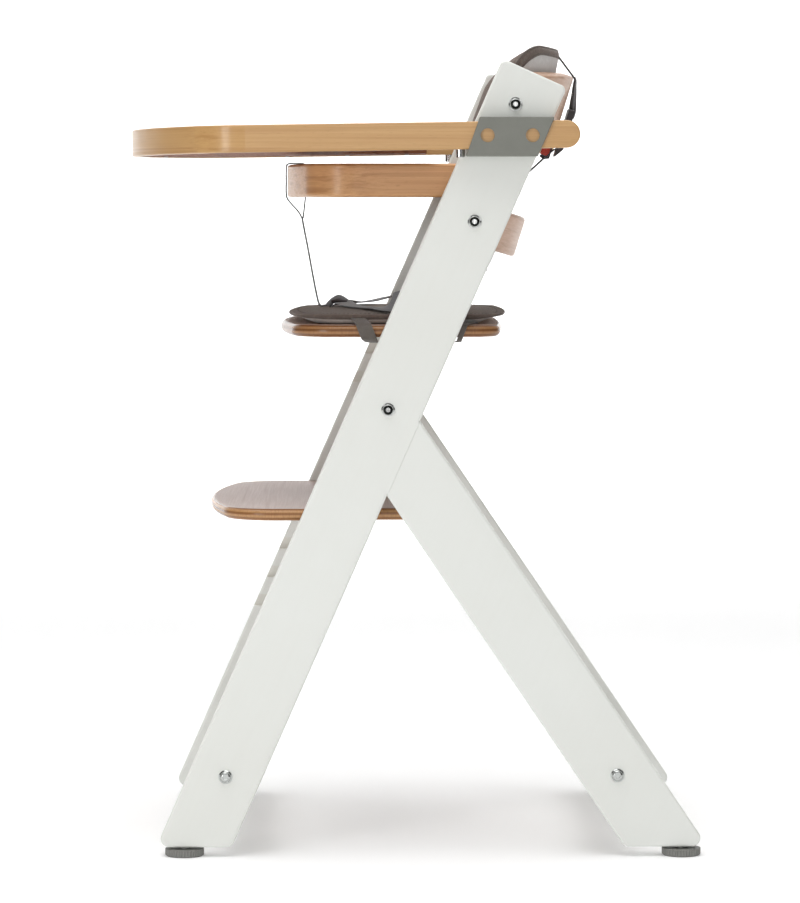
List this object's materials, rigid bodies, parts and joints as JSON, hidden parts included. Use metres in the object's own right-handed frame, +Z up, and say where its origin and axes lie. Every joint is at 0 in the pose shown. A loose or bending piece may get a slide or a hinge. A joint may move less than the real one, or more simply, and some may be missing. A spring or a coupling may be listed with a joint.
{
  "type": "baby high chair",
  "caption": "Wooden stair-type baby high chair with slanted white side frames, slide-on bentwood tray, bumper rail, padded seat and back, harness and adjustable footrest.",
  "frame": {"origin": "on the floor, under the middle of the chair's box", "axes": "+Z up, -Y is the way the child faces, +X is the child's left hand"},
  "size_m": [0.502, 0.5716, 0.8106],
  "materials": {
    "white_lacquer": "satin white lacquer on wood",
    "raw_beech": "unfinished turned dowel",
    "pale_ply": "clear lacquered bent plywood",
    "warm_beech": "clear lacquered bent plywood, warm brown",
    "light_beech": "clear lacquered bentwood, grain along the arm",
    "red_ply": "clear lacquered plywood panel",
    "board_ply": "glossy lacquered plywood with visible layers on the edges",
    "chrome": "polished chrome plate",
    "zinc_steel": "zinc plated steel",
    "grey_plastic": "fine textured moulding",
    "foot_plastic": "moulded, knurled edge",
    "dark_plastic": "moulded buckle plastic",
    "red_plastic": "glossy moulding",
    "taupe_fabric": "woven cover",
    "taupe_elastic": "woven elastic",
    "grey_webbing": "woven webbing"
  },
  "bodies": {
    "frame": {"left_upright": "white_lacquer", "right_upright": "white_lacquer", "left_rear_leg": "white_lacquer", "right_rear_leg": "white_lacquer", "leg_dowels": "raw_beech", "mid_cross_rail": "white_lacquer", "front_stretcher": "white_lacquer", "rear_stretcher": "white_lacquer", "upper_back_slat": "pale_ply", "lower_back_slat": "pale_ply", "frame_bolts": "chrome", "barrel_nuts": "zinc_steel", "bumper_rail": "warm_beech", "bumper_rail_screws": "zinc_steel", "left_tray_bracket": "grey_plastic", "right_tray_bracket": "grey_plastic", "bracket_screws": "zinc_steel", "foot_inserts": "zinc_steel", "back_cushion": "taupe_fabric", "crotch_strap_loop": "grey_webbing", "back_harness_strap": "grey_webbing", "harness_buckle": "dark_plastic"},
    "tray": {"tray_rim": "light_beech", "tray_panel": "red_ply", "tray_panel_screws": "zinc_steel", "tray_stop_pins": "chrome"},
    "seat": {"seat_board": "board_ply", "seat_cushion": "taupe_fabric", "seat_cushion_strap": "taupe_elastic", "crotch_strap": "grey_webbing", "lap_adjuster": "dark_plastic", "lap_straps": "grey_webbing"},
    "footrest": {"footrest_board": "board_ply"},
    "front_left_leveller": {"front_left_foot": "foot_plastic", "front_left_foot_stud": "zinc_steel"},
    "front_right_leveller": {"front_right_foot": "foot_plastic", "front_right_foot_stud": "zinc_steel"},
    "rear_left_leveller": {"rear_left_foot": "foot_plastic", "rear_left_foot_stud": "zinc_steel"},
    "rear_right_leveller": {"rear_right_foot": "foot_plastic", "rear_right_foot_stud": "zinc_steel"},
    "red_button": {"buckle_button": "red_plastic"}
  },
  "joints": [
    {"name": "tray_slide", "type": "slide", "parent": "frame", "child": "tray", "axis": [0, -0.9999, -0.0148], "range_m": [0, 0.112]},
    {"name": "seat_slide", "type": "slide", "parent": "frame", "child": "seat", "axis": [0, -1, 0], "range_m": [0, 0.035]},
    {"name": "footrest_slide", "type": "slide", "parent": "frame", "child": "footrest", "axis": [0, -1, 0], "range_m": [-0.012, 0.05]},
    {"name": "front_left_foot_turn", "type": "hinge", "parent": "frame", "child": "front_left_leveller", "pos_m": [0.2175, -0.2255, 0], "axis": [0, 0, 1], "continuous": true},
    {"name": "front_right_foot_turn", "type": "hinge", "parent": "frame", "child": "front_right_leveller", "pos_m": [-0.2175, -0.2255, 0], "axis": [0, 0, 1], "continuous": true},
    {"name": "rear_left_foot_turn", "type": "hinge", "parent": "frame", "child": "rear_left_leveller", "pos_m": [0.2175, 0.2666, 0], "axis": [0, 0, 1], "continuous": true},
    {"name": "rear_right_foot_turn", "type": "hinge", "parent": "frame", "child": "rear_right_leveller", "pos_m": [-0.2175, 0.2666, 0], "axis": [0, 0, 1], "continuous": true},
    {"name": "button_press", "type": "slide", "parent": "frame", "child": "red_button", "axis": [0, 0.9553, -0.2957], "range_m": [0, 0.003], "stiffness_N_per_m": 900, "springref_m": -0.002}
  ]
}
